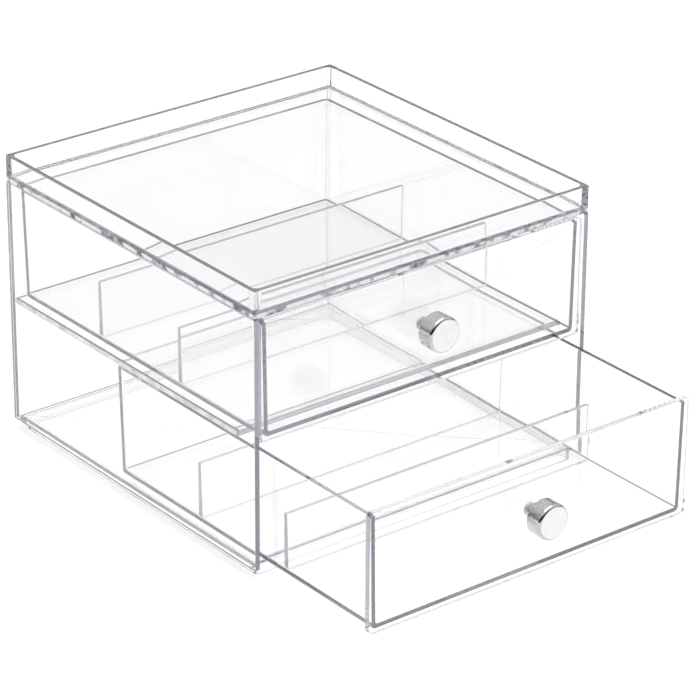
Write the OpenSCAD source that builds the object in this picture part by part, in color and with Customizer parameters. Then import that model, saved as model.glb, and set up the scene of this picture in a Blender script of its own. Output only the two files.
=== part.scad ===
// Clear stacking vanity box: a bonded casing with a shallow tray on top,
// two drawers divided across their width, and a round pull knob on each.
// Millimetres. Front toward -Y, +X to the right seen from the front, +Z up.
// The origin is the centre of the casing's footprint, on the resting plane.

/* [Casing] */
// Width over the side walls
casing_w = 176; // [150:1:220]
// Depth from the front edge of the side walls to the back face
casing_d = 177; // [150:1:220]
// Thickness of the side and back walls
wall_t = 2.4; // [1.8:0.1:3.4]
// Thickness of the base panel
base_t = 2; // [1.6:0.1:3]
// Thickness of the shelf between the drawers
shelf_t = 2.4; // [1.8:0.1:3.4]
// Clear height of one drawer bay
bay_h = 54.5; // [45:0.5:80]
// Distance from the casing's front edge back to the shelf's front edge
shelf_setback = 13; // [6:1:25]
// Corner radius at the shelf's front
shelf_r = 1; // [0.5:0.5:12]
// Corner radius of the wall sheets
sheet_r = 1; // [0.4:0.1:2]
// Room between a closed drawer front and the base panel's front edge
base_front_gap = 0.6; // [0.4:0.1:1.5]

/* [Stacking plinth] */
// Height of the plinth under the base
plinth_h = 4.4; // [3:0.2:8]
// Inset of the plinth from the outside of the casing
plinth_inset = 3.4; // [2.8:0.1:6]
// Wall thickness of the plinth
plinth_t = 2.2; // [1.4:0.1:3]
// Corner radius of the plinth
plinth_r = 3; // [2:0.2:8]

/* [Top tray] */
// Thickness of the tray's floor
tray_floor_t = 2.6; // [1.8:0.1:4]
// Height of the rim above the tray's floor
rim_h = 9.6; // [6:0.2:20]
// Thickness of the rim at its foot
rim_t = 2.4; // [1.6:0.1:2.8]
// Amount by which the rim thins toward its top
rim_draft = 0.2; // [0:0.1:0.8]
// Outer corner radius of the rim
rim_r = 1; // [0.5:0.1:6]
// Inner corner radius of the rim, at the tray's floor
well_r = 2.4; // [1:0.1:6]
// Fillet between the rim and the tray's floor
rim_fillet = 1; // [0.2:0.1:2]

/* [Drawer fronts] */
// Thickness of a drawer front
front_t = 2.8; // [2:0.1:4]
// Corner radius of a drawer front
front_r = 2.4; // [1:0.2:6]
// Room at each side between a drawer front and the casing wall
front_side_gap = 0.9; // [0.4:0.1:2]
// Room above a drawer front
front_top_gap = 1.1; // [0.5:0.1:3]
// Amount by which a drawer front hangs below the bay's floor
front_drop = 1; // [0.6:0.1:1.4]

/* [Drawer trays] */
// Room above a drawer's walls in its bay
drawer_top_gap = 3.4; // [1:0.1:12]
// Thickness of a drawer's walls
drawer_wall = 2; // [1.4:0.1:2.6]
// Thickness of a drawer's floor
drawer_floor = 2; // [1.4:0.1:3]
// Setback of a drawer's side wall from the edge of its front
drawer_inset = 1.7; // [1:0.1:4]
// Amount by which each wall leans outward toward its top
drawer_draft = 0.8; // [0:0.1:1.5]
// Plan radius of the rear corners outside, at the top
drawer_r = 3; // [2.2:0.1:8]
// Plan radius of the rear corners inside, at the floor
cavity_r = 1.4; // [0.5:0.1:6]
// Fillet along the bottom edges, outside
drawer_fillet = 2; // [0.3:0.1:2]
// Fillet along the bottom edges, inside
cavity_fillet = 1.2; // [0.2:0.1:1.2]
// Room behind a closed drawer
back_gap = 2; // [0.5:0.1:8]
// Room between a drawer's underside and the panel it slides on
glide_gap = 0.3; // [0.2:0.05:0.6]

/* [Dividers] */
// Height of a divider above the drawer's floor
divider_h = 26; // [15:0.5:40]
// Thickness of a divider along its top edge
divider_t = 2; // [1:0.1:2.6]
// Thickness of a divider at its foot
divider_foot = 2.8; // [2:0.1:4]
// Clear depth of the front pocket
front_pocket = 53.8; // [35:0.1:60]
// Clear depth of the middle pocket
middle_pocket = 54.1; // [35:0.1:60]

/* [Knobs] */
// Height of the knob above the middle of its drawer front
knob_rise = 1; // [-6:0.5:6]
// Diameter of the knob's head
knob_d = 16; // [12:0.5:24]
// Length of the knob's head
knob_len = 8.2; // [5:0.2:14]
// Rounding of the head's front rim
knob_round = 1.4; // [0.4:0.1:2.5]
// Bevel at the back of the head
knob_bevel = 0.6; // [0.2:0.1:1.5]
// Diameter of the knob's neck
neck_d = 8; // [6:0.5:11]
// Length of the neck
neck_len = 4.5; // [3:0.1:8]
// Diameter of the screw that holds the knob
screw_d = 3; // [2.5:0.1:4]
// Depth that the screw reaches into the knob
screw_reach = 6; // [4:0.5:7]
// Diameter of the screw's head
screw_head_d = 6; // [5:0.1:8]
// Height of the screw's head
screw_head_h = 2; // [1.4:0.1:3]
// Width of the cross slots in the screw's head
slot_w = 0.9; // [0.6:0.1:1.2]
// Depth of the cross slots
slot_depth = 1; // [0.5:0.1:1.2]

/* [Fits] */
// Bond line between glued or clamped faces
bond = 0.05; // [0.02:0.01:0.1]
// Radial play of the screw in the drawer front
screw_play = 0.25; // [0.1:0.05:0.5]
// Radial play of the screw in the knob
thread_play = 0.05; // [0.02:0.01:0.1]

/* [Pose] */
// Distance by which the lower drawer stands open
lower_open = 70; // [0:1:130]

/* [Hidden] */
$fn = 64;
arc_steps = 8;
cut = 1;

CLEAR = [0.88, 0.91, 0.95, 0.35];
CHROME = "silver";
STEEL = "lightslategray";

// Levels of the casing, from the resting plane up
base_z = plinth_h + base_t;
shelf_z = base_z + bay_h;
upper_z = shelf_z + shelf_t;
tray_z = upper_z + bay_h;

// Planes of the casing
front_y = -casing_d / 2;
inner_back_y = casing_d / 2 - wall_t;
inner_x = casing_w / 2 - wall_t;
wall_h = tray_z - plinth_h;

// Drawer front, with z measured from its bay's floor
front_w = 2 * (inner_x - front_side_gap);
front_h = bay_h + front_drop - front_top_gap;
front_back_y = front_y + front_t;
knob_z = front_h / 2 - front_drop + knob_rise;

// Drawer tray: height of its walls, and planes of its outside at the top
drawer_h = bay_h - glide_gap - drawer_top_gap;
drawer_half_w = front_w / 2 - drawer_inset;
drawer_rear_y = inner_back_y - back_gap;
drawer_front_y = front_back_y + bond;

// Distance by which a leaning wall comes in from its top to the height z above its underside
function wall_in(z) = drawer_draft * (1 - z / drawer_h);

// Corner centres of the drawer's outside, and of its cavity and dividers
drawer_cx = drawer_half_w - drawer_r;
drawer_cy = drawer_rear_y - drawer_r;
cavity_set = wall_in(drawer_floor) + drawer_wall + cavity_r;
cavity_cx = drawer_half_w - cavity_set;
cavity_cy = drawer_rear_y - cavity_set;

// Fillets, held inside the corners that they run round
least_r = 0.2;
drawer_foot_r = drawer_r - drawer_draft;
drawer_edge = min(drawer_fillet, drawer_foot_r - least_r);
cavity_edge = min(cavity_fillet, cavity_r - least_r);
rim_edge = min(rim_fillet, well_r - least_r);
plinth_inner_r = max(least_r, plinth_r - plinth_t);

// Kept to a thousandth, so that swept and turned walls meet at the same points
function fine(v) = round(v * 1000) / 1000;

// Upright edge profile: offset outward from a centre line against height
function edge(foot, top, h, fillet) = concat(
    [[0, 0]],
    [for (i = [0:arc_steps]) let (a = 90 * i / arc_steps)
        [fine(foot - fillet + fillet * sin(a)), fine(fillet - fillet * cos(a))]],
    [[fine(top), h], [0, h]]
);

// The same profile on both sides of x = 0, as one closed outline
function both_sides(half_x, pts) = concat(
    [for (i = [1:len(pts) - 2]) [half_x + pts[i][0], pts[i][1]]],
    [for (i = [len(pts) - 2:-1:1]) [-half_x - pts[i][0], pts[i][1]]]
);

// Outline in X and Z, swept along Y
module sweep_y(pts, y0, y1)
    translate([0, y1, 0])
        rotate([90, 0, 0])
            linear_extrude(y1 - y0) polygon(pts);

// Outline in Y and Z, swept along X
module sweep_x(pts, x0, x1)
    translate([x0, 0, 0])
        rotate([90, 0, 90])
            linear_extrude(x1 - x0) polygon(pts);

// Rounded rectangle about the origin
module rounded_rect(w, d, r) {
    square([w - 2 * r, d], center = true);
    square([w, d - 2 * r], center = true);
    for (x = [-1, 1], y = [-1, 1])
        translate([x * (w / 2 - r), y * (d / 2 - r)]) circle(r);
}

// End of a moulded tub: a leaning wall across, and a turned corner at each side
module tub_end(half_x, pts) {
    sweep_x(pts, -half_x, half_x);
    translate([half_x, 0, 0]) rotate_extrude(angle = 90) polygon(pts);
    mirror([1, 0, 0]) translate([half_x, 0, 0]) rotate_extrude(angle = 90) polygon(pts);
}

// Moulded tub with leaning walls and filleted bottom edges
module tub(half_x, y0, y1, pts, closed_front) {
    sweep_y(both_sides(half_x, pts), y0, y1);
    translate([0, y1, 0]) tub_end(half_x, pts);
    if (closed_front)
        translate([0, y0, 0]) mirror([0, 1, 0]) tub_end(half_x, pts);
}

// Sheet standing along Y, with its outline in Y and Z
module upright_sheet(d, h, t, r)
    rotate([90, 0, 90]) linear_extrude(t) rounded_rect(d, h, r);

module side_panel()
    translate([inner_x, 0, plinth_h + wall_h / 2])
        upright_sheet(casing_d, wall_h, wall_t, sheet_r);

module right_side_panel() color(CLEAR) side_panel();

module left_side_panel() color(CLEAR) mirror([1, 0, 0]) side_panel();

module back_panel()
    color(CLEAR)
        translate([0, casing_d / 2, plinth_h + wall_h / 2])
            rotate([90, 0, 0])
                linear_extrude(wall_t) rounded_rect(2 * (inner_x - bond), wall_h, sheet_r);

// Base plate with a hollow plinth that drops into the rim of a box below
module base_panel() {
    base_y = front_back_y + base_front_gap;
    base_len = inner_back_y - bond - base_y;
    plinth_w = casing_w - 2 * plinth_inset;
    plinth_d = casing_d - 2 * plinth_inset;
    color(CLEAR) {
        translate([0, base_y + base_len / 2, plinth_h])
            linear_extrude(base_t) rounded_rect(2 * (inner_x - bond), base_len, sheet_r);
        linear_extrude(plinth_h) difference() {
            rounded_rect(plinth_w, plinth_d, plinth_r);
            rounded_rect(plinth_w - 2 * plinth_t, plinth_d - 2 * plinth_t, plinth_inner_r);
        }
    }
}

// Shelf bonded between the walls, rounded at its two front corners
module middle_shelf() {
    half_w = inner_x - bond;
    shelf_y = front_y + shelf_setback;
    color(CLEAR)
        translate([0, 0, shelf_z])
            linear_extrude(shelf_t) {
                translate([-half_w, shelf_y + shelf_r])
                    square([2 * half_w, inner_back_y - bond - shelf_y - shelf_r]);
                translate([shelf_r - half_w, shelf_y])
                    square([2 * (half_w - shelf_r), shelf_r]);
                for (x = [-1, 1])
                    translate([x * (half_w - shelf_r), shelf_y + shelf_r]) circle(shelf_r);
            }
}

// Shallow tray with a raised rim, bonded on top of the walls
module top_tray() {
    corner_x = casing_w / 2 - rim_t - well_r;
    corner_y = casing_d / 2 - rim_t - well_r;
    lean = rim_draft * (rim_h + cut) / rim_h;
    color(CLEAR)
        translate([0, 0, tray_z + bond])
            difference() {
                linear_extrude(tray_floor_t + rim_h - bond) rounded_rect(casing_w, casing_d, rim_r);
                translate([0, 0, tray_floor_t - bond])
                    tub(corner_x, -corner_y, corner_y,
                        edge(well_r, well_r + lean, rim_h + cut, rim_edge), true);
            }
}

// Rounded front panel with the screw's clearance hole
module drawer_front()
    color(CLEAR)
        translate([0, front_back_y, front_h / 2 - front_drop])
            rotate([90, 0, 0])
                linear_extrude(front_t) difference() {
                    rounded_rect(front_w, front_h, front_r);
                    translate([0, knob_rise]) circle(screw_d / 2 + screw_play);
                }

// Open-fronted moulded tray, bonded to the back of the front panel
module drawer_tray() {
    depth = drawer_h - drawer_floor + cut;
    outer = edge(drawer_foot_r, drawer_r, drawer_h, drawer_edge);
    inner = edge(cavity_r, cavity_r + drawer_draft * depth / drawer_h, depth, cavity_edge);
    color(CLEAR)
        translate([0, 0, glide_gap])
            difference() {
                tub(drawer_cx, drawer_front_y, drawer_cy, outer, false);
                translate([0, 0, drawer_floor])
                    tub(cavity_cx, drawer_front_y - cut, cavity_cy, inner, false);
            }
}

// Divider across the drawer, shaped to the cavity and thinner toward its top
module divider(y) {
    foot = cavity_r - bond;
    across = both_sides(cavity_cx, edge(
        foot, foot + drawer_draft * divider_h / drawer_h, divider_h - bond, cavity_edge));
    along = [
        [-divider_foot / 2, 0], [divider_foot / 2, 0],
        [divider_t / 2, divider_h - bond], [-divider_t / 2, divider_h - bond]
    ];
    color(CLEAR)
        translate([0, y, glide_gap + drawer_floor + bond])
            intersection() {
                sweep_y(across, -divider_foot, divider_foot);
                sweep_x(along, -casing_w / 2, casing_w / 2);
            }
}

module front_divider()
    divider(drawer_front_y + front_pocket + divider_foot / 2);

module rear_divider()
    divider(drawer_front_y + front_pocket + middle_pocket + divider_foot * 1.5);

// Places what is turned about the knob's axis: z points out of the drawer front
module at_knob(y)
    translate([0, y, knob_z]) rotate([90, 0, 0]) children();

// Turned knob with a blind hole for its screw
module knob() {
    head_r = knob_d / 2;
    total = neck_len + knob_len;
    outline = concat(
        [[0, 0], [neck_d / 2, 0], [neck_d / 2, neck_len], [head_r - knob_bevel, neck_len],
         [head_r, neck_len + knob_bevel]],
        [for (i = [0:arc_steps]) let (a = 90 * i / arc_steps)
            [head_r - knob_round + knob_round * cos(a), total - knob_round + knob_round * sin(a)]],
        [[0, total]]
    );
    color(CHROME)
        at_knob(front_y - bond)
            difference() {
                rotate_extrude() polygon(outline);
                translate([0, 0, -cut])
                    cylinder(h = screw_reach + 2 * cut, d = screw_d + 2 * thread_play);
            }
}

// Pan-head screw driven from inside the drawer into the knob
module knob_screw() {
    length = front_t + bond + screw_reach;
    dome = screw_head_h / 2;
    outline = concat(
        [[0, 0], [screw_head_d / 2, 0], [screw_head_d / 2, -dome]],
        [for (i = [1:arc_steps]) let (a = 90 * i / arc_steps)
            [screw_head_d / 2 * cos(a), -dome - dome * sin(a)]]
    );
    color(STEEL)
        at_knob(front_back_y + bond)
            difference() {
                union() {
                    rotate_extrude() polygon(outline);
                    cylinder(h = length, d = screw_d);
                }
                for (turn = [0, 90])
                    rotate(turn)
                        translate([-screw_head_d / 4, -slot_w / 2, -screw_head_h - cut])
                            cube([screw_head_d / 2, slot_w, slot_depth + cut]);
            }
}

// Places a drawer's piece on its bay's floor
module in_upper_bay() translate([0, 0, upper_z]) children();

module in_lower_bay() translate([0, -lower_open, base_z]) children();

module upper_drawer_front() in_upper_bay() drawer_front();

module upper_drawer_tray() in_upper_bay() drawer_tray();

module upper_front_divider() in_upper_bay() front_divider();

module upper_rear_divider() in_upper_bay() rear_divider();

module upper_knob() in_upper_bay() knob();

module upper_knob_screw() in_upper_bay() knob_screw();

module lower_drawer_front() in_lower_bay() drawer_front();

module lower_drawer_tray() in_lower_bay() drawer_tray();

module lower_front_divider() in_lower_bay() front_divider();

module lower_rear_divider() in_lower_bay() rear_divider();

module lower_knob() in_lower_bay() knob();

module lower_knob_screw() in_lower_bay() knob_screw();

left_side_panel();
right_side_panel();
back_panel();
base_panel();
middle_shelf();
top_tray();
upper_drawer_front();
upper_drawer_tray();
upper_front_divider();
upper_rear_divider();
upper_knob();
upper_knob_screw();
lower_drawer_front();
lower_drawer_tray();
lower_front_divider();
lower_rear_divider();
lower_knob();
lower_knob_screw();
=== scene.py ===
# %% [markdown]
# # A clear box with two drawers
# The box is a casing of thin clear sheets, a shallow tray on top, and two
# drawers with low dividers and a round metal pull each. Its solids come from
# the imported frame, which fixes every place and size. This script models each
# piece again with softened edges, and gives it its finish and its light.

# %% The frame
import math

import bpy
from mathutils import Matrix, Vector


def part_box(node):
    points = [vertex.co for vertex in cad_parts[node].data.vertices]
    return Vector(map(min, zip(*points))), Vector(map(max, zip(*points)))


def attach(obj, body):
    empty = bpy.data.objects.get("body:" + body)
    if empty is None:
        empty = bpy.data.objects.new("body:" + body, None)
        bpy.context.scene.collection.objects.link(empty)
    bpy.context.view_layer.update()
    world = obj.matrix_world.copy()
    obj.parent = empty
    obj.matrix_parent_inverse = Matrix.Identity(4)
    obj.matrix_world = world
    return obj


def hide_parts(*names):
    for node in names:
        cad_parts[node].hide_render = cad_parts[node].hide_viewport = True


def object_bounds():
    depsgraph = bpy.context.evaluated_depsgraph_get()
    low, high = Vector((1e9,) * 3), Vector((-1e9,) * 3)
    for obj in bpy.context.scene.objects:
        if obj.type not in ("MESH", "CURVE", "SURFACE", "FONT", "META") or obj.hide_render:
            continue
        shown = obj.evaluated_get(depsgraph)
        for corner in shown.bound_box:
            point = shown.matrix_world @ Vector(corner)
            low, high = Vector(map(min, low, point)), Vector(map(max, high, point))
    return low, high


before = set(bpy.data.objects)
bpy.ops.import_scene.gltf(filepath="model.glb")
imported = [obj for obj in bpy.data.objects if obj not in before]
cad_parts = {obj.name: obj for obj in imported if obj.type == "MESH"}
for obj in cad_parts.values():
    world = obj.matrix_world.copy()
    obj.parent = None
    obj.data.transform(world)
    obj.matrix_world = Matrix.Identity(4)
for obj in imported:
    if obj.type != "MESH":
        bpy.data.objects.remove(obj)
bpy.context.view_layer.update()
MM = 0.001

# %% [markdown]
# ## Camera
# A camera can be aimed by hand or worked out. Here the corners of the box in
# the picture gave its place, its turn and its focal length, so the lens is long
# and the camera stands well back, to the left of the drawers and above them.

# %% Camera
SENSOR = 36
AZIMUTH, ELEVATION, ROLL = (math.radians(a) for a in (-38.414, 25.634, 0.392))
FOCAL_PIXELS, PICTURE_SIDE = 3686.8, 700
CAMERA_PLACE = (-0.87513, -1.142, 0.736)
turn = (
    Matrix.Rotation(AZIMUTH, 3, "Z")
    @ Matrix.Rotation(math.pi / 2 - ELEVATION, 3, "X")
    @ Matrix.Rotation(ROLL, 3, "Z")
)
bpy.ops.object.camera_add(location=CAMERA_PLACE, rotation=turn.to_euler())
camera = bpy.context.object
camera.data.sensor_width = SENSOR
camera.data.lens = SENSOR * FOCAL_PIXELS / PICTURE_SIDE
camera.data.clip_end = 100
bpy.context.scene.camera = camera
print("camera: lens", round(camera.data.lens, 1), "mm")

# %% [markdown]
# ## Wiring materials
# Nodes can be placed and linked one by one, which soon hides the idea behind
# them. One small class stands for a socket instead: arithmetic on it adds Math
# nodes, and its `node` method adds any other kind.

# %% Sockets as values
class Wire:
    """An output socket of a node tree, with which plain arithmetic can be done."""

    def __init__(self, tree, socket=None):
        self.tree = tree
        self.socket = socket

    def node(self, kind, settings=(), sockets=(), out=0, stops=()):
        """Adds a node: its settings first, then values or links for its sockets."""
        made = self.tree.nodes.new(kind)
        for name, value in dict(settings).items():
            setattr(made, name, value)
        ramp = made.color_ramp.elements if stops else ()
        for stop in stops[2:]:
            ramp.new(stop[0])
        for element, stop in zip(ramp, stops):
            element.position, element.color = stop
        for name, value in dict(sockets).items():
            if isinstance(value, Wire):
                self.tree.links.new(value.socket, made.inputs[name])
            else:
                made.inputs[name].default_value = value
        return Wire(self.tree, made.outputs[out] if made.outputs else None)

    def math(self, operation, first, second):
        return self.node("ShaderNodeMath", {"operation": operation}, {0: first, 1: second})

    def __add__(self, other):
        return self.math("ADD", self, other)

    def __mul__(self, other):
        return self.math("MULTIPLY", self, other)

    def __rsub__(self, other):
        return self.math("SUBTRACT", other, self)

    __radd__ = __add__
    __rmul__ = __mul__


def new_material(name):
    """An empty material and the wire that its nodes are added by."""
    material = bpy.data.materials.new(name)
    material.use_nodes = True
    material.node_tree.nodes.clear()
    return material, Wire(material.node_tree)


# %% [markdown]
# ## Clear plastic
# Glass in Blender is a Principled shader with full transmission. Moulded
# plastic differs by a lower index of refraction and by faint waves where it
# flowed into its mould. It also takes a little light on the way, so a piece
# looks clear through its face and grey along its edge, and a mould's plastic
# takes more than a polished sheet. Edges are a little rougher than faces, and
# their colour is a little greyer, which is painted shade. Inner corners and bond
# lines get a much darker colour, painted shade where the sheets meet. On some
# edges a noise mixes in a second shader, an opaque white one, in streaks or
# evenly: painted glints. A lamp's shadow rays stop at glass, so for them the
# surface becomes a Transparent shader.

# %% Clear plastic
INDEX = 1.49
HAZE_SCALE, FLOW_SCALE = 40, 28
LIGHT_TAKEN = (0.0, 0.0, 0.12, 1)
LIGHT_PASSED = (0.992, 0.992, 0.994, 1)
MOULDED_TAKES, SHEET_TAKES = 4.8, 2.0
# Painted glints: an opaque white shader mixed onto some edges, in streaks or evenly.
GLINT_SCALE, GLINT_STREAKS, GLINT_EVERYWHERE = 150, (0.38, 0.52), (0.1, 0.8)
GLINT_WHITE, GLINT_ROUGH = (0.95, 0.95, 0.96, 1), 0.4


def clear_plastic(name, pale, deep, smooth, dull, wave, takes, glints=None):
    material, wire = new_material(name)
    place = wire.node("ShaderNodeTexCoord", out="Object")
    haze = wire.node("ShaderNodeTexNoise", sockets={
        "Vector": place, "Scale": HAZE_SCALE, "Detail": 4}, out="Fac")
    flow = wire.node("ShaderNodeTexNoise", sockets={
        "Vector": place, "Scale": FLOW_SCALE, "Detail": 1}, out="Fac")
    colour = wire.node("ShaderNodeMix", {"data_type": "RGBA"}, {
        "Factor": haze, "A": pale, "B": deep}, out="Result")
    bump = wire.node("ShaderNodeBump", sockets={"Strength": wave, "Distance": MM, "Height": flow})
    solid = wire.node("ShaderNodeBsdfPrincipled", sockets={
        "Base Color": colour, "Roughness": smooth + (dull - smooth) * haze,
        "IOR": INDEX, "Transmission Weight": 1, "Normal": bump})
    # Painted glints: the white shader is mixed in where the noise is high.
    if glints:
        marks = wire.node("ShaderNodeTexNoise", sockets={
            "Vector": place, "Scale": GLINT_SCALE, "Detail": 2}, out="Fac")
        glint_share = wire.node("ShaderNodeMapRange", sockets={
            "Value": marks, "From Min": glints[0], "From Max": glints[1]}, out="Result")
        rough = wire.node("ShaderNodeBsdfPrincipled", sockets={
            "Base Color": GLINT_WHITE, "Roughness": GLINT_ROUGH, "IOR": INDEX})
        solid = wire.node("ShaderNodeMixShader", sockets={0: glint_share, 1: solid, 2: rough})
    open_to_lamps = wire.node("ShaderNodeBsdfTransparent", sockets={"Color": LIGHT_PASSED})
    shadow_ray = wire.node("ShaderNodeLightPath", out="Is Shadow Ray")
    surface = wire.node(
        "ShaderNodeMixShader", sockets={0: shadow_ray, 1: solid, 2: open_to_lamps})
    inside = wire.node(
        "ShaderNodeVolumeAbsorption", sockets={"Color": LIGHT_TAKEN, "Density": takes})
    wire.node("ShaderNodeOutputMaterial", sockets={"Surface": surface, "Volume": inside})
    return material


CLEAREST, CLEARER = (0.998, 0.998, 0.998, 1), (0.992, 0.992, 0.993, 1)
# Painted shade: edges are tinted a little grey-blue, inner corners and bond lines dark grey.
EDGE_SHADE_PALE, EDGE_SHADE_DEEP = (0.97, 0.97, 0.99, 1), (0.93, 0.93, 0.955, 1)
CORNER_SHADE_PALE, CORNER_SHADE_DEEP = (0.34, 0.34, 0.36, 1), (0.22, 0.22, 0.235, 1)
FACE = (CLEAREST, CLEARER, 0.0, 0.01, 0.02)
EDGE = (EDGE_SHADE_PALE, EDGE_SHADE_DEEP, 0.01, 0.05, 0.1)
MOULDED_FACE = clear_plastic("moulded_face", *FACE, MOULDED_TAKES)
MOULDED_EDGE = clear_plastic("moulded_edge_painted_shade", *EDGE, MOULDED_TAKES)
MOULDED_PAINTED_GLINT = clear_plastic("moulded_painted_glint", *EDGE, MOULDED_TAKES, GLINT_STREAKS)
SHEET_FACE = clear_plastic("sheet_face", *FACE, SHEET_TAKES)
SHEET_EDGE = clear_plastic("sheet_edge_painted_shade", *EDGE, SHEET_TAKES)
SHEET_PAINTED_GLINT = clear_plastic("sheet_painted_glint", *EDGE, SHEET_TAKES, GLINT_EVERYWHERE)
# Painted shade for the inner corners and the bond lines.
CORNER = clear_plastic(
    "inner_corner_painted_shade", CORNER_SHADE_PALE, CORNER_SHADE_DEEP, 0.05, 0.12, 0.05, MOULDED_TAKES)
# The edge and inner-corner materials carry painted shade, and the cut ones carry painted glints.
print("clear plastic: moulded and sheet, faces, edges, cut edges and inner corners")

# %% [markdown]
# ## Metal
# The pulls are plated to a mirror, which shows only what is around it. Fine
# haze in the roughness keeps it from looking like a computer's mirror. Their
# front faces are satin, and so bright all over. The screws are plainer: zinc,
# duller, with turning marks. One function makes all three from other numbers.

# %% Metal
def metal(name, bright, dim, smooth, dull, scale, wave):
    material, wire = new_material(name)
    place = wire.node("ShaderNodeTexCoord", out="Object")
    marks = wire.node("ShaderNodeTexNoise", sockets={
        "Vector": place, "Scale": scale, "Detail": 6}, out="Fac")
    colour = wire.node("ShaderNodeMix", {"data_type": "RGBA"}, {
        "Factor": marks, "A": bright, "B": dim}, out="Result")
    bump = wire.node("ShaderNodeBump", sockets={
        "Strength": wave, "Distance": 0.1 * MM, "Height": marks})
    shine = wire.node("ShaderNodeBsdfPrincipled", sockets={
        "Base Color": colour, "Metallic": 1,
        "Roughness": smooth + (dull - smooth) * marks, "Normal": bump})
    wire.node("ShaderNodeOutputMaterial", sockets={"Surface": shine})
    return material


PLATING_SCALE, TURNING_SCALE = 350, 900
chrome = metal(
    "pull_chrome", (0.60, 0.605, 0.61, 1), (0.52, 0.525, 0.535, 1),
    0.02, 0.06, PLATING_SCALE, 0.03)
satin = metal(
    "pull_satin", (0.86, 0.865, 0.87, 1), (0.80, 0.805, 0.81, 1),
    0.24, 0.3, PLATING_SCALE, 0.02)
zinc = metal(
    "screw_zinc", (0.72, 0.73, 0.75, 1), (0.52, 0.53, 0.55, 1),
    0.22, 0.42, TURNING_SCALE, 0.2)
print("metal: chrome, satin and zinc")

# %% [markdown]
# ## Shaping by hand
# Every piece starts as a primitive at its real size and place. Faces and edges
# are then chosen by where they are, and shaped in edit mode. Almost nothing
# real has a perfectly sharp edge, so a small Bevel finishes each piece and
# gives it the fine bright line that shows where one face turns into the next.

# %% Tools for shaping
SHARP = math.radians(40)
TINY = 1e-6


def start_block(name, low, high):
    """A cube primitive from one corner to the other."""
    bpy.ops.object.select_all(action="DESELECT")
    bpy.ops.mesh.primitive_cube_add(size=1, location=[(a + b) / 2 for a, b in zip(low, high)])
    bpy.ops.transform.resize(value=[b - a for a, b in zip(low, high)])
    bpy.ops.object.transform_apply(location=True, rotation=True, scale=True)
    piece = bpy.context.object
    piece.name = name
    return piece


def start_rod(name, radius, front, back, height, sides):
    """A cylinder primitive that lies along Y, from front to back."""
    bpy.ops.object.select_all(action="DESELECT")
    bpy.ops.mesh.primitive_cylinder_add(
        vertices=sides, radius=radius, depth=back - front,
        location=(0, (front + back) / 2, height), rotation=(math.pi / 2, 0, 0))
    bpy.ops.object.transform_apply(location=True, rotation=True, scale=True)
    piece = bpy.context.object
    piece.name = name
    return piece


def select_edges(piece, wanted):
    """Selects the edges whose two ends pass, and stays in edit mode."""
    bpy.ops.object.mode_set(mode="EDIT")
    bpy.ops.mesh.select_mode(type="EDGE")
    bpy.ops.mesh.select_all(action="DESELECT")
    bpy.ops.object.mode_set(mode="OBJECT")
    points = piece.data.vertices
    for edge in piece.data.edges:
        edge.select = wanted(*(points[i].co for i in edge.vertices))
    bpy.ops.object.mode_set(mode="EDIT")


def select_faces(piece, wanted):
    """Selects the faces whose middle and normal pass, and stays in edit mode."""
    bpy.ops.object.mode_set(mode="EDIT")
    bpy.ops.mesh.select_mode(type="FACE")
    bpy.ops.mesh.select_all(action="DESELECT")
    bpy.ops.object.mode_set(mode="OBJECT")
    for face in piece.data.polygons:
        face.select = wanted(face.center, face.normal)
    bpy.ops.object.mode_set(mode="EDIT")


def along(axis):
    """Passes edges that run along one axis."""
    others = [i for i in range(3) if i != axis]
    return lambda a, b: all(abs(a[i] - b[i]) < TINY for i in others)


def round_edges(piece, radius, steps, wanted):
    select_edges(piece, wanted)
    bpy.ops.mesh.bevel(offset=radius, segments=steps, affect="EDGES")
    bpy.ops.object.mode_set(mode="OBJECT")


def leaning_block(name, low, high, lean, corner, foot, open_front=False):
    """A block drawn in toward its foot, with its corners and its foot rounded."""
    piece = start_block(name, low, high)
    depth, middle_y = high[1] - low[1], (low[1] + high[1]) / 2
    pivot, drawn = (low[1], lean) if open_front else (middle_y, 2 * lean)
    select_faces(piece, lambda middle, normal: normal.z < -0.9)
    bpy.ops.transform.resize(
        value=(1 - lean / high[0], 1 - drawn / depth, 1), center_override=(0, pivot, low[2]))
    keep = middle_y if open_front else -math.inf
    round_edges(piece, corner, 8, lambda a, b: min(a.y, b.y) > keep and abs(a.z - b.z) > MM)
    keep = low[1] + TINY if open_front else -math.inf
    round_edges(
        piece, foot, 5, lambda a, b: max(a.z, b.z) < low[2] + TINY and max(a.y, b.y) > keep)
    return piece


def apply_modifier(piece, kind, **settings):
    """Adds a modifier, sets it and applies it."""
    bpy.context.view_layer.objects.active = piece
    modifier = piece.modifiers.new(kind.lower(), kind)
    for name, value in settings.items():
        setattr(modifier, name, value)
    bpy.ops.object.modifier_apply(modifier=modifier.name)


def cut_with(piece, tool, operation="DIFFERENCE"):
    """Cuts a tool out of a piece, or joins it on, and throws the tool away."""
    apply_modifier(piece, "BOOLEAN", object=tool, operation=operation, solver="EXACT")
    bpy.data.objects.remove(tool)


def soften(piece, width, steps=2):
    """Takes the sharpness off every edge, and smooths the shading between."""
    apply_modifier(
        piece, "BEVEL", width=width, segments=steps, limit_method="ANGLE",
        angle_limit=SHARP, use_clamp_overlap=True)
    bpy.ops.object.select_all(action="DESELECT")
    piece.select_set(True)
    bpy.ops.object.shade_smooth_by_angle(angle=SHARP)
    apply_modifier(piece, "WEIGHTED_NORMAL", mode="FACE_AREA", weight=100, keep_sharp=True)


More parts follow.
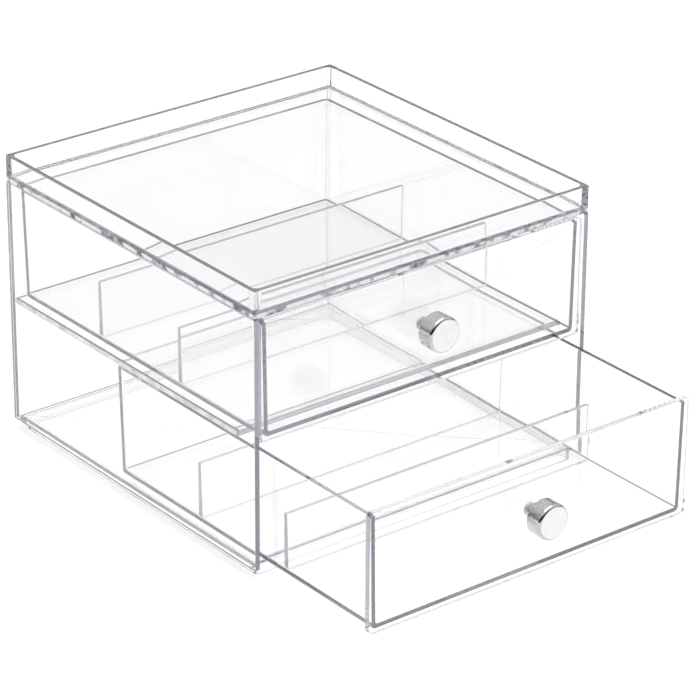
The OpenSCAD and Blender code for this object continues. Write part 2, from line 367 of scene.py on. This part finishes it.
def mark_border(piece, width):
    """Parts a narrow border from the top face, along the sheets that it is bonded to."""
    top = max(point.co.z for point in piece.data.vertices)
    select_faces(piece, lambda middle, normal: normal.z > 0.9 and middle.z > top - TINY)
    bpy.ops.mesh.inset(thickness=width)
    bpy.ops.object.mode_set(mode="OBJECT")


def finish_plastic(piece, clear, *others):
    """One clear finish all over, and each of the others on the faces that pass its test."""
    piece.data.materials.append(clear)
    for index, (finish, passes) in enumerate(others, 1):
        piece.data.materials.append(finish)
        for face in piece.data.polygons:
            if passes(face.center, face.normal):
                face.material_index = index
    print(piece.name, len(piece.data.polygons), "faces")


# %% [markdown]
# ## Walls
# The side and back walls are flat sheets. A plane with Solidify would do, but a
# block has its thickness from the start, and its four corners can be
# rounded before its edges are softened.

# %% Walls
SHEET_CORNER, SHEET_SOFT = 1 * MM, 0.3 * MM


def wall_sheet(name, node, thin):
    low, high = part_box(node)
    piece = start_block(name, low, high)
    round_edges(piece, SHEET_CORNER, 4, along(thin))
    soften(piece, SHEET_SOFT)
    # The sheet's edges take painted edge shade.
    finish_plastic(
        piece, MOULDED_FACE, (MOULDED_EDGE, lambda middle, normal: abs(normal[thin]) < 0.8))
    return piece


left_wall = wall_sheet("left_wall", "left_side_panel", 0)
right_wall = wall_sheet("right_wall", "right_side_panel", 0)
back_wall = wall_sheet("back_wall", "back_panel", 1)

# %% [markdown]
# ## Shelf
# The shelf between the drawers is set back from the front. Only the two upright
# edges at its front are rounded, because its other edges are bonded to the walls.
# Along those an inset parts a narrow border, which takes painted shade.

# %% Shelf
SHELF_CORNER, BOND_LINE = 1 * MM, 1.2 * MM
low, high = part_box("middle_shelf")
shelf = start_block("shelf", low, high)
upright = along(2)
front_edge = low.y
round_edges(shelf, SHELF_CORNER, 4, lambda a, b: upright(a, b) and abs(a.y - front_edge) < TINY)
mark_border(shelf, BOND_LINE)
soften(shelf, SHEET_SOFT)


def bonded(high):
    """Passes the border of a sheet's top, but not at its front."""
    return lambda middle, normal: normal.z > 0.9 and (
        abs(middle.x) > high.x - BOND_LINE or middle.y > high.y - BOND_LINE)


# The front edges take painted edge shade, the bonded border darker painted shade, and the two ends
# painted glints.
finish_plastic(
    shelf, SHEET_FACE,
    (SHEET_EDGE, lambda middle, normal: normal.y < -0.2 and middle.y < front_edge + SHELF_CORNER),
    (CORNER, bonded(high)), (SHEET_PAINTED_GLINT, lambda middle, normal: abs(normal.x) > 0.9))

# %% [markdown]
# ## Base and plinth
# Under the base plate runs a low hollow frame that drops into the rim of a box
# below. A block loses its top and bottom faces, Solidify gives the band that is
# left its thickness, and a Boolean joins it to the plate. A Boolean leaves
# slivers where two flat faces share a plane, so the frame's front stands a
# small step behind the plate's.

# %% Base and plinth
BASE_PLATE, PLINTH_INSET, PLINTH_WALL, PLINTH_CORNER = (v * MM for v in (2, 3.4, 2.2, 3))
JOIN, STEP = 0.5 * MM, 0.3 * MM
low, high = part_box("base_panel")
casing_low, casing_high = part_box("top_tray")
plate_under = high.z - BASE_PLATE
base = start_block("base", (low.x, low.y, plate_under), high)
round_edges(base, SHEET_CORNER, 4, along(2))
plinth = start_block(
    "plinth",
    (casing_low.x + PLINTH_INSET, casing_low.y + PLINTH_INSET + STEP, low.z),
    (casing_high.x - PLINTH_INSET, casing_high.y - PLINTH_INSET, plate_under + JOIN))
round_edges(plinth, PLINTH_CORNER, 8, along(2))
select_faces(plinth, lambda middle, normal: abs(normal.z) > 0.9)
bpy.ops.mesh.delete(type="FACE")
bpy.ops.object.mode_set(mode="OBJECT")
apply_modifier(plinth, "SOLIDIFY", thickness=PLINTH_WALL, offset=-1, use_even_offset=True)
cut_with(base, plinth, "UNION")
mark_border(base, BOND_LINE)
soften(base, SHEET_SOFT)
# The border where the walls stand on the plate takes painted shade.
finish_plastic(base, MOULDED_FACE, (CORNER, bonded(high)))

# %% [markdown]
# ## Tray on top
# The tray could be built of a plate and four strips, but it is one moulding. So
# one block gets rounded corners, and a second one, drawn in toward its foot as a
# mould needs, is cut out of it and leaves the rim standing. A bisect then parts
# a band along the edge of the floor, which takes painted glints. The rim's top
# takes painted edge shade.

# %% Tray on top
RIM_CORNER, RIM_TOP, RIM_FOOT, RIM_HEIGHT = (v * MM for v in (1, 2.2, 2.4, 9.6))
WELL_CORNER, WELL_FILLET, BAND_LINE = 2.4 * MM, 1 * MM, 0.5 * MM
low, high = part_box("top_tray")
tray_top = high.z
lid_tray = start_block("lid_tray", low, high)
round_edges(lid_tray, RIM_CORNER, 8, along(2))
well = leaning_block(
    "well", (low.x + RIM_TOP, low.y + RIM_TOP, high.z - RIM_HEIGHT),
    (high.x - RIM_TOP, high.y - RIM_TOP, high.z + MM),
    RIM_FOOT - RIM_TOP, WELL_CORNER, WELL_FILLET)
cut_with(lid_tray, well)
band_top = tray_top - RIM_HEIGHT - BAND_LINE


def outside(middle, normal):
    """Passes the upright faces that look away from the tray's middle."""
    return abs(normal.z) < 0.2 and normal.x * middle.x + normal.y * middle.y > 0


select_faces(lid_tray, outside)
bpy.ops.mesh.bisect(plane_co=(0, 0, band_top), plane_no=(0, 0, 1))
bpy.ops.object.mode_set(mode="OBJECT")
soften(lid_tray, SHEET_SOFT)
finish_plastic(
    lid_tray, MOULDED_FACE,
    (MOULDED_EDGE, lambda middle, normal: normal.z > 0.5 and middle.z > tray_top - MM),
    (MOULDED_PAINTED_GLINT, lambda middle, normal: outside(middle, normal) and middle.z < band_top))

# %% [markdown]
# ## Drawer front
# A drawer's front is a thicker sheet with rounded corners. The screw of its pull
# goes through a plain hole, which a Boolean cuts with a rod.

# %% Drawer front
FRONT_CORNER, FRONT_SOFT, HOLE_RADIUS = 2.4 * MM, 0.4 * MM, 1.75 * MM
low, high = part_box("upper_drawer_front")
pull_low, pull_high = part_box("upper_knob")
pull_height = (pull_low.z + pull_high.z) / 2
front = start_block("upper_front", low, high)
round_edges(front, FRONT_CORNER, 8, along(1))
cut_with(front, start_rod("hole", HOLE_RADIUS, low.y - MM, high.y + MM, pull_height, 32))
soften(front, FRONT_SOFT)
# The front's edges take painted edge shade.
finish_plastic(front, SHEET_FACE, (SHEET_EDGE, lambda middle, normal: abs(normal.y) < 0.8))

# %% [markdown]
# ## Drawer tray
# The tray behind the front is a moulding with leaning walls and rounded
# edges, open at the front. A skin with Solidify would give it an even wall, but
# its corners are rounder outside than inside. So its cavity is a block of its
# own, with the same lean, and is cut out of the outer one.

# %% Drawer tray
LEAN, REAR_CORNER, FOOT_FILLET, TRAY_WALL, TRAY_FLOOR = (v * MM for v in (0.8, 2.6, 2, 2, 2))
CAVITY_CORNER, CAVITY_FILLET, TRAY_SOFT = 1.8 * MM, 1.2 * MM, 0.25 * MM
low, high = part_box("upper_drawer_tray")
mouth, rim_height = low.y, high.z
tray = leaning_block("upper_tray", low, high, LEAN, REAR_CORNER, FOOT_FILLET, open_front=True)
inside = high.x - TRAY_WALL
cavity = leaning_block(
    "cavity", (-inside, mouth - MM, low.z + TRAY_FLOOR), (inside, high.y - TRAY_WALL, high.z + MM),
    LEAN, CAVITY_CORNER, CAVITY_FILLET, open_front=True)
cut_with(tray, cavity)
soften(tray, TRAY_SOFT)
floor_height = low.z + TRAY_FLOOR
# The rim's top and front edges take painted edge shade, and the rounded corners along the floor
# take darker painted shade.
finish_plastic(
    tray, MOULDED_FACE,
    (MOULDED_EDGE, lambda middle, normal: (normal.z > 0.5 and middle.z > rim_height - MM)
     or (normal.y < -0.5 and middle.y < mouth + MM)),
    (CORNER, lambda middle, normal: 0.4 < normal.z < 0.8
     and middle.z < floor_height + CAVITY_FILLET))

# %% [markdown]
# ## Dividers
# Two low dividers stand across each tray. They thin toward their top edge and
# fit the rounded corners between the tray's floor and walls.

# %% Dividers
DIVIDER_TOP, DIVIDER_FOOT_FILLET, DIVIDER_LEAN = 2 * MM, 1.2 * MM, 0.41 * MM


def divider(name, node):
    low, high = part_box(node)
    middle = (low + high) / 2
    piece = start_block(name, low, high)
    select_faces(piece, lambda place, normal: normal.z > 0.9)
    bpy.ops.transform.resize(value=(1, DIVIDER_TOP / (high.y - low.y), 1), center_override=middle)
    select_faces(piece, lambda place, normal: normal.z < -0.9)
    bpy.ops.transform.resize(value=((high.x - DIVIDER_LEAN) / high.x, 1, 1), center_override=middle)
    bpy.ops.object.mode_set(mode="OBJECT")
    round_edges(
        piece, DIVIDER_FOOT_FILLET, 5,
        lambda a, b: along(1)(a, b) and max(a.z, b.z) < low.z + TINY)
    soften(piece, TRAY_SOFT)
    # The top and end faces take painted edge shade.
    finish_plastic(
        piece, MOULDED_FACE,
        (MOULDED_EDGE, lambda middle, normal: normal.z > 0.5 or abs(normal.x) > 0.8))
    return piece


front_divider = divider("upper_divider_front", "upper_front_divider")
rear_divider = divider("upper_divider_rear", "upper_rear_divider")

# %% [markdown]
# ## Pull
# A turned pull could be spun from a profile. Starting from a rod for its head
# is as short: its front rim is rounded, its back bevelled, and the back face is
# inset and drawn out into the neck, with the screw's hole inset in its end.

# %% Pull
HEAD_RADIUS, HEAD_LENGTH, RIM_ROUND, BACK_BEVEL = (v * MM for v in (8, 8.2, 1.4, 0.6))
NECK_RADIUS, THREAD_RADIUS, THREAD_DEPTH, PULL_SOFT = (v * MM for v in (4, 1.55, 7, 0.15))
low, high = pull_low, pull_high
head_back = low.y + HEAD_LENGTH
pull = start_rod("upper_pull", HEAD_RADIUS, low.y, head_back, pull_height, 72)


def ring_at(y):
    return lambda a, b: abs(a.y - y) < TINY and abs(b.y - y) < TINY


round_edges(pull, RIM_ROUND, 6, ring_at(low.y))
round_edges(pull, BACK_BEVEL, 2, ring_at(head_back))
select_faces(pull, lambda middle, normal: normal.y > 0.99)
bpy.ops.mesh.inset(thickness=HEAD_RADIUS - BACK_BEVEL - NECK_RADIUS)
bpy.ops.mesh.extrude_region_move(TRANSFORM_OT_translate={"value": (0, high.y - head_back, 0)})
bpy.ops.mesh.inset(thickness=NECK_RADIUS - THREAD_RADIUS)
bpy.ops.mesh.extrude_region_move(TRANSFORM_OT_translate={"value": (0, -THREAD_DEPTH, 0)})
bpy.ops.object.mode_set(mode="OBJECT")
soften(pull, PULL_SOFT)
for material in (chrome, satin):
    pull.data.materials.append(material)
for face in pull.data.polygons:
    face.material_index = int(face.normal.y < -0.98)
print(pull.name, len(pull.data.polygons), "faces")

# %% [markdown]
# ## Screw
# The pull is held by a pan-head screw from inside the drawer, which shows
# through the clear front. A rod makes the head, its inner rim is rounded
# into a dome, the shank is drawn out of the other side, and two thin blocks cut
# the cross.

# %% Screw
SCREW_HEAD, SCREW_HEAD_HEIGHT, SHANK_RADIUS = 3 * MM, 2 * MM, 1.5 * MM
CROSS_LENGTH, CROSS_WIDTH, CROSS_DEPTH, SCREW_SOFT = (v * MM for v in (3, 0.9, 1, 0.08))
low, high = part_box("upper_knob_screw")
head_front = high.y - SCREW_HEAD_HEIGHT
screw = start_rod("upper_screw", SCREW_HEAD, head_front, high.y, pull_height, 36)
round_edges(screw, SCREW_HEAD_HEIGHT / 2, 5, ring_at(high.y))
select_faces(screw, lambda middle, normal: normal.y < -0.99)
bpy.ops.mesh.inset(thickness=SCREW_HEAD - SHANK_RADIUS)
bpy.ops.mesh.extrude_region_move(TRANSFORM_OT_translate={"value": (0, low.y - head_front, 0)})
bpy.ops.object.mode_set(mode="OBJECT")
for half_x, half_z in ((CROSS_LENGTH, CROSS_WIDTH), (CROSS_WIDTH, CROSS_LENGTH)):
    cut_with(screw, start_block(
        "slot",
        (-half_x / 2, high.y - CROSS_DEPTH, pull_height - half_z / 2),
        (half_x / 2, high.y + MM, pull_height + half_z / 2)))
soften(screw, SCREW_SOFT)
screw.data.materials.append(zinc)
print(screw.name, len(screw.data.polygons), "faces")

# %% [markdown]
# ## The lower drawer
# Both drawers are the same mouldings, so the lower one is a copy of the upper,
# each piece with its own mesh, moved down and out by as much as the frame says.

# %% The lower drawer
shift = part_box("lower_drawer_front")[0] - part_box("upper_drawer_front")[0]


def lower_copy(piece):
    bpy.ops.object.select_all(action="DESELECT")
    piece.select_set(True)
    bpy.context.view_layer.objects.active = piece
    bpy.ops.object.duplicate(linked=False)
    twin = bpy.context.object
    twin.name = piece.name.replace("upper", "lower")
    bpy.ops.transform.translate(value=shift)
    bpy.ops.object.transform_apply(location=True, rotation=True, scale=True)
    return twin


CLEAR, PULL, SCREW = "clear_plastic", "knob_chrome", "screw_steel"
drawer_pieces = [
    (front, "drawer_front", CLEAR), (tray, "drawer_tray", CLEAR),
    (front_divider, "front_divider", CLEAR), (rear_divider, "rear_divider", CLEAR),
    (pull, "knob", PULL), (screw, "knob_screw", SCREW)]
placed = [
    (piece, "upper_" + node, "upper_drawer", slot) for piece, node, slot in drawer_pieces]
placed += [
    (lower_copy(piece), "lower_" + node, "lower_drawer", slot)
    for piece, node, slot in drawer_pieces]
print("lower drawer moved by", [round(v / MM, 1) for v in shift], "mm")

# %% [markdown]
# ## Tying the pieces to the frame
# Each piece stands for one node of the frame, and moves with that node's body.

# %% Tying the pieces to the frame
placed += [
    (left_wall, "left_side_panel", "casing", CLEAR),
    (right_wall, "right_side_panel", "casing", CLEAR),
    (back_wall, "back_panel", "casing", CLEAR), (base, "base_panel", "casing", CLEAR),
    (shelf, "middle_shelf", "casing", CLEAR), (lid_tray, "top_tray", "casing", CLEAR)]
for piece, node, body, slot in placed:
    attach(piece, body)
    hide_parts(node)
print(len(placed), "pieces tied")

# %% [markdown]
# ## Floor
# Clear plastic shows what lies behind it, so it is photographed on a bright, even
# floor. A wide plane is enough. It glows a little by itself, like a light table,
# so that the walls leave hardly any shadow on it.

# %% Floor
FLOOR_SIDE, FLOOR_GLOW = 40, 0.68
bpy.ops.object.select_all(action="DESELECT")
bpy.ops.mesh.primitive_plane_add(size=FLOOR_SIDE, location=(0, 0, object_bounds()[0].z - 0.05 * MM))
floor = bpy.context.object
floor.name = "floor"
floor_paint, wire = new_material("floor_paint")
place = wire.node("ShaderNodeTexCoord", out="Object")
mottle = wire.node("ShaderNodeTexNoise", sockets={
    "Vector": place, "Scale": 2, "Detail": 2}, out="Fac")
pale = wire.node("ShaderNodeMix", {"data_type": "RGBA"}, {
    "Factor": mottle, "A": (0.36, 0.36, 0.36, 1), "B": (0.34, 0.34, 0.345, 1)}, out="Result")
glow = wire.node("ShaderNodeMix", {"data_type": "RGBA"}, {
    "Factor": mottle, "A": (1, 1, 1, 1), "B": (0.985, 0.985, 0.985, 1)}, out="Result")
matt = wire.node("ShaderNodeBsdfPrincipled", sockets={
    "Base Color": pale, "Roughness": 0.9, "Specular IOR Level": 0.1,
    "Emission Color": glow, "Emission Strength": FLOOR_GLOW})
wire.node("ShaderNodeOutputMaterial", sockets={"Surface": matt})
floor.data.materials.append(floor_paint)
print("floor", FLOOR_SIDE, "m wide")

# %% [markdown]
# ## Light
# A wide soft lamp overhead lights the floor evenly. In a room that is white all
# round, clear plastic has no outline, because its edges mirror more white. So
# the surroundings have a dim band just above the horizon, and are dark on the
# side that the picture is taken from. The edges and the pulls mirror both.

# %% Light
LAMP_HEIGHT, LAMP_SIDE, LAMP_POWER = 2.4, 2.2, 36
bpy.ops.object.light_add(type="AREA", location=(0, 0, LAMP_HEIGHT))
lamp = bpy.context.object
lamp.data.shape = "SQUARE"
lamp.data.size = LAMP_SIDE
lamp.data.energy = LAMP_POWER

world = bpy.data.worlds.new("studio")
world.use_nodes = True
world.node_tree.nodes.clear()
wire = Wire(world.node_tree)
direction = wire.node("ShaderNodeTexCoord", out="Generated")
x, y, z = (
    wire.node("ShaderNodeSeparateXYZ", sockets={"Vector": direction}, out=name) for name in "XYZ")
WHITE, PALE, GREY, DIM, BLACK = ((v, v, v, 1) for v in (1, 0.9, 0.86, 0.4, 0.03))
band = wire.node("ShaderNodeValToRGB", sockets={"Fac": z}, stops=[
    (0.0, PALE), (0.05, DIM), (0.22, DIM),
    (0.36, GREY), (0.6, GREY), (0.85, WHITE)])
DARK_X, DARK_Y = -0.62, -0.78
dark_side = wire.node("ShaderNodeMapRange", sockets={
    "Value": x * DARK_X + y * DARK_Y, "From Min": 0.2, "From Max": 0.7})
low_down = wire.node("ShaderNodeMapRange", sockets={
    "Value": z, "From Min": 0.75, "From Max": 0.5})
room = wire.node("ShaderNodeMix", {"data_type": "RGBA"}, {
    "Factor": dark_side * low_down, "A": band, "B": BLACK}, out="Result")
sky = wire.node("ShaderNodeBackground", sockets={"Color": room, "Strength": 1.0})
wire.node("ShaderNodeOutputWorld", sockets={"Surface": sky})
bpy.context.scene.world = world
print("light: one lamp of", LAMP_POWER, "W, a dim band and a dark side")

# %% [markdown]
# ## Seeing through many sheets
# A ray that looks through the box meets dozens of surfaces. Cycles gives up after
# a few bounces and paints black, so the limits go up. The Standard view
# keeps the white floor white.

# %% Seeing through many sheets
cycles = bpy.context.scene.cycles
cycles.max_bounces = cycles.transmission_bounces = cycles.glossy_bounces = 160
cycles.transparent_max_bounces = 64
cycles.blur_glossy = 0
bpy.context.scene.view_settings.view_transform = "Standard"
